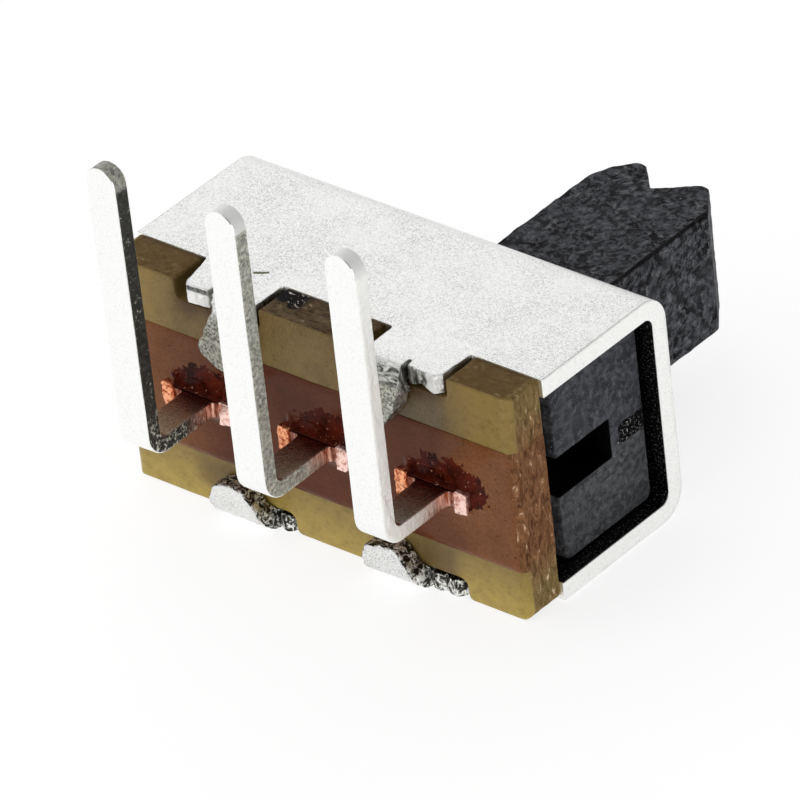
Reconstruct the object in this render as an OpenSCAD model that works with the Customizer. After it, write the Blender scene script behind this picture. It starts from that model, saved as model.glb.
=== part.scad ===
// Miniature slide switch, three right-angle terminals in a row, one short handle.
// Lengths in millimetres. X runs along the slide, +Y points out along the handle, +Z is up,
// the way the terminals point. The origin is the middle of the shell's lower face.

/* [Shell] */
// length of the folded shell along the slide
body_w = 8.6; // [8.2:0.1:10.6]
// height over both flanges
body_h = 4.3; // [4:0.1:5.4]
// depth from the flange edges to the outside of the web
shell_d = 3.15; // [2.9:0.05:4]
// thickness of the sheet
sheet_t = 0.35; // [0.28:0.01:0.43]
// inside radius of the two long bends
bend_r = 0.2; // [0.12:0.01:0.25]
// corner radius of the opening for the handle
window_r = 0.1; // [0.04:0.02:0.14]

/* [Tabs] */
// distance from the middle of the switch to the middle of each tab
tab_x = 1.98; // [1.9:0.02:2.2]
// width of a tab where it leaves the flange
tab_w = 1.62; // [1.3:0.02:1.7]
// width of the outer part of a tab that stays flat
ear_w = 0.64; // [0.4:0.02:0.7]
// how far the flat part stops short of the base's outer face
ear_short = 0.08; // [0.02:0.02:0.3]
// rounding of the flat part's outer corner
ear_round = 0.16; // [0.08:0.02:0.2]
// how far the upper tongues reach down over the base
tongue_top = 1.18; // [0.9:0.02:1.3]
// how far the lower tongues reach up over the base
tongue_low = 0.76; // [0.65:0.01:0.95]
// inside radius where a tongue folds over the base
fold_r = 0.1; // [0.05:0.01:0.15]

/* [Base] */
// thickness of the base plate
plate_t = 0.8; // [0.6:0.05:1]
// how far each end of the plate stays inside the end of the shell
plate_in = 0.08; // [0.06:0.01:0.15]
// width of a notch for a tab
notch_w = 1.9; // [1.8:0.02:2.1]
// depth of a notch
notch_d = 0.56; // [0.5:0.02:0.7]
// bevel on the plate's outer end edges
plate_bevel = 0.1; // [0.04:0.02:0.16]
// plate left bare below the sealing band
seal_below = 0.95; // [0.95:0.05:1.2]
// plate left bare above the sealing band
seal_above = 1.05; // [0.95:0.05:1.2]
// thickness of the sealing band
seal_t = 0.04; // [0.03:0.01:0.06]

/* [Terminals] */
// spacing of the terminals, which is also the travel of the slider
pitch = 2.5; // [2:0.05:3]
// width of a terminal outside
pin_w = 0.62; // [0.5:0.02:0.8]
// thickness of the terminal strip
pin_t = 0.3; // [0.24:0.02:0.4]
// distance from the flange edges to the outer face of the upright legs
pin_reach = 2.5; // [2:0.05:3.2]
// how far the legs stand above the shell
pin_above = 3.15; // [2.5:0.05:4.5]
// inside radius of a terminal's bend
pin_bend = 0.14; // [0.1:0.01:0.25]
// width of the shoulder against the base
shoulder_w = 1.46; // [1.3:0.02:1.6]
// how far the shoulder stands out of the base
shoulder_out = 0.08; // [0.04:0.02:0.2]
// width of the staked lug at each end of the shoulder
lug_w = 0.24; // [0.12:0.02:0.3]
// height of a lug
lug_h = 0.44; // [0.42:0.02:0.7]
// how far a lug stands out of the base
lug_out = 0.14; // [0.1:0.02:0.3]
// width of the contact blade inside
blade_w = 1.1; // [0.9:0.05:1.3]
// length of the contact blade inside the shell
blade_len = 1.5; // [1.35:0.05:1.55]
// how far the terminals lie below the middle of the height
blade_drop = 0.12; // [0.04:0.02:0.24]

/* [Slider] */
// free length at each end of the slider's travel
end_gap = 0.3; // [0.2:0.05:0.5]
// play between the slider and the flanges, and between the handle and its opening
play = 0.04; // [0.03:0.01:0.08]
// gap between the slider and the web
web_gap = 0.1; // [0.04:0.01:0.2]
// distance from the base to the slider
base_gap = 0.45; // [0.35:0.05:0.6]
// rounding of the slider's long edges
slider_r = 0.15; // [0.05:0.05:0.2]
// length of the handle along the slide
knob_w = 2.5; // [2:0.05:3]
// height of the handle
knob_h = 2.3; // [1.8:0.05:2.5]
// how far the handle stands out of the shell
knob_out = 4.05; // [3:0.05:6]
// height of the two ridges at the end of the handle
ridge_h = 0.78; // [0.5:0.02:1]
// distance between the two ridges
ridge_span = 1.24; // [1:0.02:1.5]
// radius of the ridges
ridge_r = 0.18; // [0.1:0.02:0.26]
// depth of the groove between the ridges
groove_d = 0.52; // [0.3:0.02:0.7]
// how far the ridges and groove sit off the handle's middle
crown_shift = 0.07; // [0:0.01:0.15]

/* [Contact clip] */
// thickness of the clip's sheet
clip_t = 0.12; // [0.08:0.01:0.15]
// room between a blade and the clip's leaves
clip_room = 0.09; // [0.07:0.01:0.12]
// gap left between a blade and the pinched part of a leaf
pinch_gap = 0.02; // [0.01:0.01:0.04]
// how far the clip reaches past the middle of each blade it joins
clip_lap = 0.35; // [0.2:0.05:0.45]

/* [Show] */
// sub-part to show

/* [Hidden] */
$fn = 48;
steel_c = [0.82, 0.83, 0.81];
base_c = [0.45, 0.38, 0.16];
seal_c = [0.42, 0.22, 0.18];
pin_c = [0.9, 0.9, 0.89];
black_c = [0.07, 0.07, 0.08];
clip_c = [0.78, 0.62, 0.38];
eps = 0.01;
travel = pitch;
y_edge = -shell_d / 2;
y_web = shell_d / 2;
y_face = y_edge - plate_t;
y_out = y_face - seal_t;
plate_w = body_w - 2 * plate_in;
bend_out = bend_r + sheet_t;
fold_out = fold_r + sheet_t;
blade_z = body_h / 2 - blade_drop;
seal_h = body_h - seal_below - seal_above;
window_w = knob_w + travel + 2 * play;
window_h = knob_h + 2 * play;
slider_w = body_w - travel - 2 * end_gap;
slider_y = y_edge + base_gap;
slider_d = y_web - sheet_t - web_gap - slider_y;
slider_h = body_h - 2 * sheet_t - 2 * play;
slot_h = pin_t + 2 * (clip_t + clip_room);
slot_y = y_edge + blade_len + clip_t + 0.2;
knob_x = travel / 2;
knob_tip = y_web + knob_out;
pin_y = y_edge - pin_reach;
pin_top = body_h + pin_above;
pin_turn = pin_bend + pin_t;
clip_len = pitch + 2 * clip_lap;
clip_y = y_edge + base_gap + 0.06;
clip_half = slot_h / 2;

// a flat shape drawn in Y and Z, run along X between two stations
module along_x(from, to)
{
    translate([from, 0, 0])
        rotate([90, 0, 90])
            linear_extrude(to - from)
                children();
}

// one quarter of a ring, opening toward the given corner
module quarter_ring(r_in, r_out, turn)
{
    rotate(turn)
        intersection()
        {
            difference()
            {
                circle(r = r_out);
                circle(r = r_in);
            }
            square([r_out + 1, r_out + 1]);
        }
}

// rectangle with rounded corners, from its lower left corner
module round_rect(w, h, r)
{
    translate([r, 0])
        square([w - 2 * r, h]);
    translate([0, r])
        square([w, h - 2 * r]);
    for (x = [r, w - r])
        for (y = [r, h - r])
            translate([x, y])
                circle(r = r);
}

// channel section of the shell: two flanges and a web
module channel_section()
{
    translate([y_edge, 0])
        square([shell_d - bend_out, sheet_t]);
    translate([y_edge, body_h - sheet_t])
        square([shell_d - bend_out, sheet_t]);
    translate([y_web - sheet_t, bend_out])
        square([sheet_t, body_h - 2 * bend_out]);
    translate([y_web - bend_out, bend_out])
        quarter_ring(bend_r, bend_out, -90);
    translate([y_web - bend_out, body_h - bend_out])
        quarter_ring(bend_r, bend_out, 0);
}

// section of a tongue that leaves the upper flange and folds down over the base
module tongue_section(reach)
{
    translate([y_out + fold_r, body_h - sheet_t])
        square([y_edge - y_out - fold_r + eps, sheet_t]);
    translate([y_out + fold_r, body_h - fold_out])
        quarter_ring(fold_r, fold_out, 90);
    translate([y_out - sheet_t, body_h - reach])
        square([sheet_t, reach - fold_out]);
}

// outline of a tongue seen from outside, from the fold to its cut corners
module tongue_outline(x_in, x_out, reach)
{
    low = body_h - reach;
    cut = min(0.45, reach - fold_out - 0.05);
    polygon([[x_in, body_h], [x_in, low + 0.12], [x_in + 0.12, low], [x_out - cut, low],
        [x_out, low + cut], [x_out, body_h]]);
}

// one tab on the side of +X, its tongue toward the middle and its ear outward
module tab(reach)
{
    x_in = tab_x - tab_w / 2;
    x_out = tab_x + tab_w / 2;
    x_mid = x_out - ear_w;
    y_ear = y_face + ear_short;
    intersection()
    {
        along_x(x_in, x_mid)
            tongue_section(reach);
        translate([0, y_edge + 1, 0])
            rotate([90, 0, 0])
                linear_extrude(plate_t + sheet_t + 2)
                    tongue_outline(x_in, x_mid, reach);
    }
    translate([x_mid - eps, y_ear, body_h - sheet_t])
        cube([ear_w - ear_round + eps, y_edge - y_ear + eps, sheet_t]);
    translate([x_mid, y_ear + ear_round, body_h - sheet_t])
        cube([ear_w, y_edge - y_ear - ear_round + eps, sheet_t]);
    translate([x_out - ear_round, y_ear + ear_round, body_h - sheet_t])
        cylinder(r = ear_round, h = sheet_t);
}

// the folded shell, one sheet with its four tabs
module shell()
{
    color(steel_c)
    {
        difference()
        {
            along_x(-body_w / 2, body_w / 2)
                channel_section();
            translate([-window_w / 2, y_web + 1, body_h / 2 - window_h / 2])
                rotate([90, 0, 0])
                    linear_extrude(sheet_t + 2)
                        round_rect(window_w, window_h, window_r);
        }
        for (side = [0, 1])
            mirror([side, 0, 0])
            {
                tab(tongue_top);
                translate([0, 0, body_h])
                    mirror([0, 0, 1])
                        tab(tongue_low);
            }
    }
}

// plan of the base: a strip with bevelled outer corners
module base_plan()
{
    half = plate_w / 2;
    polygon([[-half, y_edge], [-half, y_face + plate_bevel], [-half + plate_bevel, y_face],
        [half - plate_bevel, y_face], [half, y_face + plate_bevel], [half, y_edge]]);
}

// slots for the three contact blades
module blade_slots()
{
    for (i = [-1, 0, 1])
        translate([i * pitch - blade_w / 2, y_face - 1, blade_z - pin_t / 2])
            cube([blade_w, plate_t + 2, pin_t]);
}

// the flat base that closes the open side of the shell
module base_plate()
{
    color(base_c)
        difference()
        {
            linear_extrude(body_h)
                base_plan();
            for (side = [-1, 1])
            {
                translate([side * tab_x - notch_w / 2, y_face - 1, body_h - notch_d])
                    cube([notch_w, plate_t + 2, notch_d + 1]);
                translate([side * tab_x - notch_w / 2, y_face - 1, -1])
                    cube([notch_w, plate_t + 2, notch_d + 1]);
            }
            blade_slots();
        }
}

// the hard sealing band, over the outer face and both ends of the base
module seal_resin()
{
    color(seal_c)
        difference()
        {
            translate([-plate_w / 2 - seal_t, y_out, seal_below])
                cube([plate_w + 2 * seal_t, plate_t + seal_t, seal_h]);
            linear_extrude(body_h)
                base_plan();
            blade_slots();
        }
}

// side view of a terminal's leg, its bend and its upright part
module leg_section()
{
    translate([pin_y + pin_turn, blade_z - pin_t / 2])
        square([y_out - pin_y - pin_turn, pin_t]);
    translate([pin_y + pin_turn, blade_z - pin_t / 2 + pin_turn])
        quarter_ring(pin_bend, pin_turn, 180);
    translate([pin_y, blade_z - pin_t / 2 + pin_turn])
        square([pin_t, pin_top - pin_w / 2 - blade_z + pin_t / 2 - pin_turn]);
}

// one terminal: contact blade, shoulder with staked lugs, leg, bend and upright part with a round end
module terminal(x)
{
    color(pin_c)
        translate([x, 0, 0])
        {
            along_x(-pin_w / 2, pin_w / 2)
                leg_section();
            translate([0, pin_y + pin_t, pin_top - pin_w / 2])
                rotate([90, 0, 0])
                    cylinder(r = pin_w / 2, h = pin_t);
            translate([-shoulder_w / 2, y_out - shoulder_out, blade_z - pin_t / 2])
                cube([shoulder_w, shoulder_out, pin_t]);
            for (lug_x = [-shoulder_w / 2, shoulder_w / 2 - lug_w])
                translate([lug_x, y_out - lug_out, blade_z - lug_h / 2])
                    cube([lug_w, lug_out, lug_h]);
            translate([-blade_w / 2, y_out - eps, blade_z - pin_t / 2])
                cube([blade_w, plate_t + seal_t + blade_len + eps, pin_t]);
        }
}

module terminal_left() terminal(-pitch);

module terminal_common() terminal(0);

module terminal_right() terminal(pitch);

// point where a line from a corner touches the round of a ridge, on one side or the other
function touch(px, py, cx, cy, r, side) =
    let (dx = px - cx, dy = py - cy)
    let (a = atan2(dy, dx) + side * acos(r / sqrt(dx * dx + dy * dy)))
    [cx + r * cos(a), cy + r * sin(a)];

// one side of the handle's plan: from the groove over a round ridge to the outer shoulder
module knob_half(shift)
{
    half = knob_w / 2;
    root = slider_y + slider_d - eps;
    low = knob_tip - ridge_h;
    cx = ridge_span / 2 + shift;
    cy = knob_tip - ridge_r;
    dip = knob_tip - groove_d;
    polygon([[shift, root], [half, root], [half, low], touch(half, low, cx, cy, ridge_r, 1),
        [cx, cy], touch(shift, dip, cx, cy, ridge_r, -1), [shift, dip]]);
    translate([cx, cy])
        circle(r = ridge_r);
}

// plan of the handle: two round ridges with a groove between them
module knob_plan()
{
    knob_half(-crown_shift);
    mirror([1, 0])
        knob_half(crown_shift);
}

// the moulded slider: a block in the shell with a through slot, and the handle
module slider()
{
    color(black_c)
        translate([knob_x, 0, 0])
        {
            difference()
            {
                along_x(-slider_w / 2, slider_w / 2)
                    translate([slider_y, body_h / 2 - slider_h / 2])
                        round_rect(slider_d, slider_h, slider_r);
                translate([-slider_w / 2 - 1, slider_y - 1, blade_z - slot_h / 2])
                    cube([slider_w + 2, slot_y - slider_y + 1, slot_h]);
            }
            translate([0, 0, body_h / 2 - knob_h / 2])
                linear_extrude(knob_h)
                    knob_plan();
        }
}

// the same points on the other side of the clip's middle, in reverse order
function flip(pts) = [for (i = [len(pts) - 1:-1:0]) [pts[i][0], -pts[i][1]]];

// the pinched clip that rides in the slider's slot and joins two blades
module contact_clip()
{
    thin = clip_half - clip_t;
    pinch = pin_t / 2 + pinch_gap;
    back = slot_y - clip_t;
    outer = [[clip_y, clip_half], [clip_y + 0.3, pinch + clip_t], [clip_y + 0.42, pinch + clip_t],
        [back - 0.45, clip_half], [slot_y, clip_half]];
    inner = [[clip_y, thin], [clip_y + 0.3, pinch], [clip_y + 0.42, pinch], [back - 0.45, thin],
        [back, thin]];
    inner_up = flip([for (p = inner) [p[0], -p[1]]]);
    inner_low = [for (p = inner) [p[0], -p[1]]];
    color(clip_c)
        translate([knob_x, 0, 0])
            along_x(-clip_len / 2, clip_len / 2)
                translate([0, blade_z])
                    polygon(concat(outer, flip(outer), inner_low, inner_up));
}

shell();
base_plate();
seal_resin();
terminal_left();
terminal_common();
terminal_right();
slider();
contact_clip();
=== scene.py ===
# The visual model of the slide switch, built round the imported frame. Lengths in names and
# numbers are millimetres; they are multiplied by MM where Blender or a node needs metres.
import math
import random

import bmesh
import bpy
import numpy as np
from mathutils import Matrix, Vector, noise
from mathutils.geometry import delaunay_2d_cdt


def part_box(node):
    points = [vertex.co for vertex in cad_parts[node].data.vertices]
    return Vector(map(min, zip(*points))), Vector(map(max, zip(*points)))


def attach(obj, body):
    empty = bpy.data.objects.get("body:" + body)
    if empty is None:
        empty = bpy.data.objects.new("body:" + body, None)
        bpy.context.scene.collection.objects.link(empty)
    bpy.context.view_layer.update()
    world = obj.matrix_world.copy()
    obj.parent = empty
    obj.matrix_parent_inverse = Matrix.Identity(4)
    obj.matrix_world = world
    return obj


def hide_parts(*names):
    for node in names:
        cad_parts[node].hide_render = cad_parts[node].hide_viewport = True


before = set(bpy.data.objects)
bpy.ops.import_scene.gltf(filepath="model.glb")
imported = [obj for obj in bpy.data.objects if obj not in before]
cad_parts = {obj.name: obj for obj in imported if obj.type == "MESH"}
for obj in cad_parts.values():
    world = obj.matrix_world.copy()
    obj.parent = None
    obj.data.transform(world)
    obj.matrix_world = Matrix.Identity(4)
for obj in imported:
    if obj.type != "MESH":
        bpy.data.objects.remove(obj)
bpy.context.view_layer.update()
MM = 0.001
rng = random.Random(7)


# ---------------------------------------------------------------- sizes from the frame, in millimetres
def box_mm(node):
    low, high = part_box(node)
    return low / MM, high / MM


_, shell_hi = box_mm("shell")
plate_lo, plate_hi = box_mm("base_plate")
seal_lo, seal_hi = box_mm("seal_resin")
slider_lo, slider_hi = box_mm("slider")
pins = [box_mm(n) for n in ("terminal_left", "terminal_common", "terminal_right")]

BODY_H = shell_hi.z
HALF_W = shell_hi.x
SHEET = 0.35                      # thickness of the shell's sheet
BEND = 0.55                       # outside radius of the long bends
FOLD = 0.45                       # outside radius where a tongue folds over
Y_WEB = shell_hi.y                # rear wall of the shell
Y_EDGE = plate_hi.y               # front edges of the flanges, and the base plate's inner face
Y_FACE = plate_lo.y               # the base plate's outer face
Y_OUT = seal_lo.y                 # outermost resin
PITCH = 2.5                       # terminal spacing, and the slider's travel
PIN_X = [(lo.x + hi.x) / 2 for lo, hi in pins]
PIN_Y = pins[1][0].y              # outer face of the upright legs
PIN_TOP = pins[1][1].z
PIN_T = 0.3
PIN_W = 0.62
PIN_TURN = 0.44                   # outside radius of a leg's bend
LUG_H = 0.44
BLADE_Z = pins[1][0].z + LUG_H / 2
BLADE_W = 1.1                     # contact blade inside the shell
BLADE_LEN = 1.5
SHOULDER_W = 1.46                 # a terminal's shoulder against the base
CLIP_T = 0.12
KNOB_W = 2.5                      # the handle along X
KNOB_H = 2.3
PLAY = 0.04
WEB_GAP = 0.1                     # from the slider to the shell's rear wall


# ---------------------------------------------------------------- outlines
def rounded(corners, default_step):
    """a closed list of points from corners (x, y, radius[, step after it]), the sides divided"""
    n = len(corners)
    pts = []
    for i in range(n):
        c = corners[i]
        p = Vector(c[:2])
        a = Vector(corners[i - 1][:2]) - p
        b = Vector(corners[(i + 1) % n][:2]) - p
        step = c[3] if len(c) > 3 else default_step
        r = c[2]
        arc = [p]
        if r > 0:
            angle = a.angle(b)
            reach = min(r / math.tan(angle / 2), a.length * 0.48, b.length * 0.48)
            r = reach * math.tan(angle / 2)
            turn = math.pi - angle
            k = max(2, int(turn / 0.4) + 1)
            bis = a.normalized() + b.normalized()
            if bis.length > 1e-6:
                centre = p + bis.normalized() * (r / math.sin(angle / 2))
                start = p + a.normalized() * reach - centre
                sign = 1 if start.x * (p - centre).y - start.y * (p - centre).x > 0 else -1
                arc = []
                for j in range(k + 1):
                    t = sign * turn * j / k
                    arc.append(centre + Vector((start.x * math.cos(t) - start.y * math.sin(t),
                                                start.x * math.sin(t) + start.y * math.cos(t))))
        pts.append((arc, step))
    out = []
    for i in range(n):
        arc, step = pts[i]
        nxt = pts[(i + 1) % n][0][0]
        out += arc
        run = nxt - arc[-1]
        m = max(1, int(run.length / step + 0.5))
        out += [arc[-1] + run * (j / m) for j in range(1, m)]
    clean = []
    for p in out:
        if not clean or (p - clean[-1]).length > 0.004:
            clean.append(p)
    return clean


def area(loop):
    return sum(loop[i - 1].x * loop[i].y - loop[i].x * loop[i - 1].y for i in range(len(loop))) / 2


def normals(loop):
    """inward normals of a loop that runs anticlockwise (outward for a hole run clockwise)"""
    res = []
    n = len(loop)
    for i in range(n):
        a = (loop[i] - loop[i - 1]).normalized()
        b = (loop[(i + 1) % n] - loop[i]).normalized()
        na, nb = Vector((-a.y, a.x)), Vector((-b.y, b.x))
        m = na + nb
        m = m.normalized() if m.length > 0.2 else na
        res.append(m / max(0.6, m.dot(na)))
    return res


def inside(points, loops):
    """even-odd test of an array of points against all the loops together"""
    x, y = points[:, 0], points[:, 1]
    res = np.zeros(len(points), bool)
    for loop in loops:
        q = np.array([tuple(p) for p in loop])
        q2 = np.roll(q, -1, axis=0)
        for (x1, y1), (x2, y2) in zip(q, q2):
            if y1 == y2:
                continue
            hit = ((y1 > y) != (y2 > y)) & (x < (x2 - x1) * (y - y1) / (y2 - y1) + x1)
            res ^= hit
    return res


def grid(x0, x1, dx, y0, y1, dy, jitter=0.12):
    """points over a rectangle, each moved a little at random"""
    nx, ny = max(1, round((x1 - x0) / dx)), max(1, round((y1 - y0) / dy))
    res = []
    for i in range(nx + 1):
        for j in range(ny + 1):
            res.append((x0 + (x1 - x0) * i / nx + rng.uniform(-jitter, jitter) * dx,
                        y0 + (y1 - y0) * j / ny + rng.uniform(-jitter, jitter) * dy))
    return res


def away_from_rim(points, loops, keep=0.55, longest=0.12):
    """the points inside the loops and not closer to a loop's points than keep times its step"""
    points = points[inside(points, loops)]
    rings = [np.array([tuple(p) for p in loop]) for loop in loops]
    step = np.concatenate([np.linalg.norm(np.roll(ring, -1, 0) - ring, axis=1) for ring in rings])
    step = np.minimum(step, longest)
    rim = np.concatenate(rings)
    ok = np.ones(len(points), bool)
    for i in range(0, len(points), 2000):
        d = np.linalg.norm(points[i:i + 2000, None] - rim[None], axis=2) - keep * step[None]
        ok[i:i + 2000] = d.min(1) > 0
    return points[ok]


def slab(name, loops, fill, place, depth, rim=0.03, rag=0.0, walls=3, back_rim=None, painted_light=1.0, cut=False):
    """A closed solid: a flat outline with holes, its edges rounded, carried into space.

    place(x, y, t) gives the point at the depth t below the outline. rim and back_rim are the
    roundings of the two edges, rag the roughness of the walls and walls their number of rows
    less one. With cut, the walls take the second material slot.
    """
    loops = [list(lp) for lp in loops]
    if area(loops[0]) < 0:
        loops[0].reverse()
    for h in loops[1:]:
        if area(h) > 0:
            h.reverse()
    back_rim = rim if back_rim is None else back_rim
    nrm = [normals(lp) for lp in loops]
    inset = [[p + n * rim for p, n in zip(lp, ns)] for lp, ns in zip(loops, nrm)]
    flat = [p for lp in inset for p in lp]
    edges = []
    at = 0
    for lp in inset:
        m = len(lp)
        edges += [(at + i, at + (i + 1) % m) for i in range(m)]
        at += m
    extra = away_from_rim(np.array(fill, float).reshape(-1, 2), inset)
    points = flat + [Vector(p) for p in extra]
    pts, _, tris, origin, _, _ = delaunay_2d_cdt(points, edges, [], 0, 1e-7)
    cent = np.array([tuple((pts[a] + pts[b] + pts[c]) / 3) for a, b, c in tris])
    good = inside(cent, inset)
    tris = [t for t, g in zip(tris, good) if g]
    where = {}
    for i, src in enumerate(origin):
        for o in src:
            where[o] = i
    n2 = len(pts)
    co = [place(p.x, p.y, 0.0) for p in pts] + [place(p.x, p.y, depth) for p in pts]
    faces = [(a, b, c) for a, b, c in tris] + [(c + n2, b + n2, a + n2) for a, b, c in tris]
    # rows of the walls as (share of the rim stepped in, depth); None marks a rough row
    profile = [(0.3, 0.12 * rim), (0.0, 0.62 * rim)]
    for k in range(1, walls + 1):
        profile.append((None, rim + (depth - rim - back_rim) * k / (walls + 1)))
    profile += [(0.0, depth - 0.62 * back_rim), (0.3, depth - 0.12 * back_rim)]
    at = 0
    cuts = [0] * len(faces)
    for lp, ns in zip(loops, nrm):
        m = len(lp)
        rows = [[where[at + i] for i in range(m)]]
        for share, t in profile:
            row = []
            for i in range(m):
                back = 0.0 if share is None else share * rim
                if share is None and rag:
                    q = Vector((lp[i].x * 9, lp[i].y * 9, t * 14))
                    back = rag * noise.noise(q) + rag * 0.6 * noise.noise(q * 3.1)
                p = lp[i] + ns[i] * back
                row.append(len(co))
                co.append(place(p.x, p.y, t))
            rows.append(row)
        rows.append([where[at + i] + n2 for i in range(m)])
        for k, (ra, rb) in enumerate(zip(rows, rows[1:])):
            cuts += [int(cut and 1 < k < len(rows) - 3)] * m
            for i in range(m):
                j = (i + 1) % m
                faces.append((ra[j], ra[i], rb[i], rb[j]))
        at += m
    wall = len(co) - 2 * n2
    marks = {"inner": [0.0] * n2 + [1.0] * n2 + [0.0] * wall,
             "side": [0.0] * (2 * n2) + [1.0] * wall,
             "painted_light": [painted_light] * len(co)}
    return mesh_object(name, co, faces, marks, cuts)


def mesh_object(name, co, faces, marks, cuts, sharp=38):
    """marks: attribute name -> a value per point; cuts: a material slot per face"""
    me = bpy.data.meshes.new(name)
    me.from_pydata([tuple(Vector(p) * MM) for p in co], [], faces)
    me.polygons.foreach_set("material_index", cuts)
    me.validate()
    for mark in marks:
        me.attributes.new(mark, "FLOAT", "POINT").data.foreach_set("value", marks[mark])
    me.update()
    bm = bmesh.new()
    bm.from_mesh(me)
    loose = [v for v in bm.verts if not v.link_faces]
    bmesh.ops.delete(bm, geom=loose, context="VERTS")
    bmesh.ops.recalc_face_normals(bm, faces=bm.faces)
    bm.to_mesh(me)
    bm.free()
    me.shade_smooth()
    me.set_sharp_from_angle(angle=math.radians(sharp))
    ob = bpy.data.objects.new(name, me)
    bpy.context.scene.collection.objects.link(ob)
    return ob


def step_in(v, a, b):
    """0 at a, 1 at b, smooth between"""
    k = min(1.0, max(0.0, (v - a) / (b - a)))
    return k * k * (3 - 2 * k)


def recut(ob, index, test):
    """give the faces whose middle, in millimetres, passes the test another material slot"""
    for face in ob.data.polygons:
        if test(face.center / MM):
            face.material_index = index


def fbm(p, octaves=3):
    """layered noise"""
    return sum(noise.noise(p * 2 ** k + Vector((k * 7.3, k * 3.1, k))) / 2 ** k for k in range(octaves))


# ---------------------------------------------------------------- the folded shell
RUN = Y_WEB - Y_EDGE - BEND
ARC = BEND * math.pi / 2
WEB = BODY_H - 2 * BEND
# distances along the unfolded sheet, from the upper flange's front edge
S_ARC1 = RUN
S_WEB = RUN + ARC
S_ARC2 = S_WEB + WEB
S_LOW = S_ARC2 + ARC
S_END = S_LOW + RUN
OUT = Y_EDGE - Y_OUT - (FOLD - SHEET)      # straight part of a tongue before its fold
FOLD_RUN = FOLD * math.pi / 2
EAR = 0.87                                 # an ear reaches no further past the flange's edge
# x where each slit parts a flat ear from a folded tongue, by (right half, lower flange)
SLIT = {(0, 0): -2.1, (1, 0): 2.1, (0, 1): -1.06, (1, 1): 2.2}


def tongue_s(z):
    """distance from the flange edge along a tongue to the depth z below the shell's outer face"""
    if z < FOLD:
        return OUT + FOLD * math.acos(1 - z / FOLD)
    return OUT + FOLD_RUN + z - FOLD


def tongue_place(x, s, t):
    """s past the flange edge; gives the point as (x, y, z below the outer face)"""
    lump = 0.0
    if s > OUT * 0.7:
        lump = 0.022 * fbm(Vector((x * 5.0, s * 7.0, 1.7))) + 0.012 * fbm(Vector((x * 16, s * 22, 4)), 2)
        lump *= min(1.0, (s - OUT * 0.7) / 0.25) * (1 - 0.8 * t / SHEET)
    t = t - lump
    if s <= OUT:
        return Vector((x, Y_EDGE - s, t))
    a = (s - OUT) / FOLD
    cy = Y_EDGE - OUT
    if a <= math.pi / 2:
        return Vector((x, cy - (FOLD - t) * math.sin(a), FOLD - (FOLD - t) * math.cos(a)))
    return Vector((x, cy - FOLD + t, FOLD + s - OUT - FOLD_RUN))


def ear_place(x, s, d, t, low):
    """a flat ear, d past the flange edge, its end torn (lower) or arched by a bite (upper right)"""
    tear = step_in(d, 0.45, 0.75)
    sag = 0.05 * max(0.0, d - 0.35) ** 2
    if low:
        sag -= 0.09 * tear * abs(fbm(Vector((x * 7, s * 7, 5)))) * (t / SHEET)
    elif x > 0:
        sag -= 0.10 * tear * math.exp(-((x - 2.42) / 0.13) ** 2) * (t / SHEET)
    lump = 0.012 * fbm(Vector((x * 6, s * 6, 2))) * min(1, d * 3)
    return Vector((x, Y_EDGE - d, t + sag + lump))


def shell_place(x, s, t):
    """folds the flat sheet: s along it, t below its outer face"""
    if s < 0 or s > S_END:
        low = s > S_END
        d = s - S_END if low else -s
        if low:
            ear = SLIT[0, 1] < x < 0 or x > SLIT[1, 1]
        else:
            ear = (x < SLIT[0, 0] or x > SLIT[1, 0]) and d < EAR
        p = ear_place(x, s, d, t, low) if ear else tongue_place(x, d, t)
        return Vector((p.x, p.y, p.z if low else BODY_H - p.z))
    if s <= S_ARC1:
        return Vector((x, Y_EDGE + s, BODY_H - t))
    if s <= S_WEB:
        a = (s - S_ARC1) / BEND
        return Vector((x, Y_WEB - BEND + (BEND - t) * math.sin(a),
                       BODY_H - BEND + (BEND - t) * math.cos(a)))
    if s <= S_ARC2:
        return Vector((x, Y_WEB - t, BODY_H - BEND - (s - S_WEB)))
    if s <= S_LOW:
        a = (s - S_ARC2) / BEND
        return Vector((x, Y_WEB - BEND + (BEND - t) * math.cos(a), BEND - (BEND - t) * math.sin(a)))
    return Vector((x, Y_WEB - BEND - (s - S_LOW), t))


def ts(z):
    """place along the sheet of an upper tongue's point at the depth z"""
    return -tongue_s(z)


def bs(z):
    """the same for a lower tongue"""
    return S_END + tongue_s(z)


F = 0.045                         # fine spacing of points round the tabs
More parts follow.
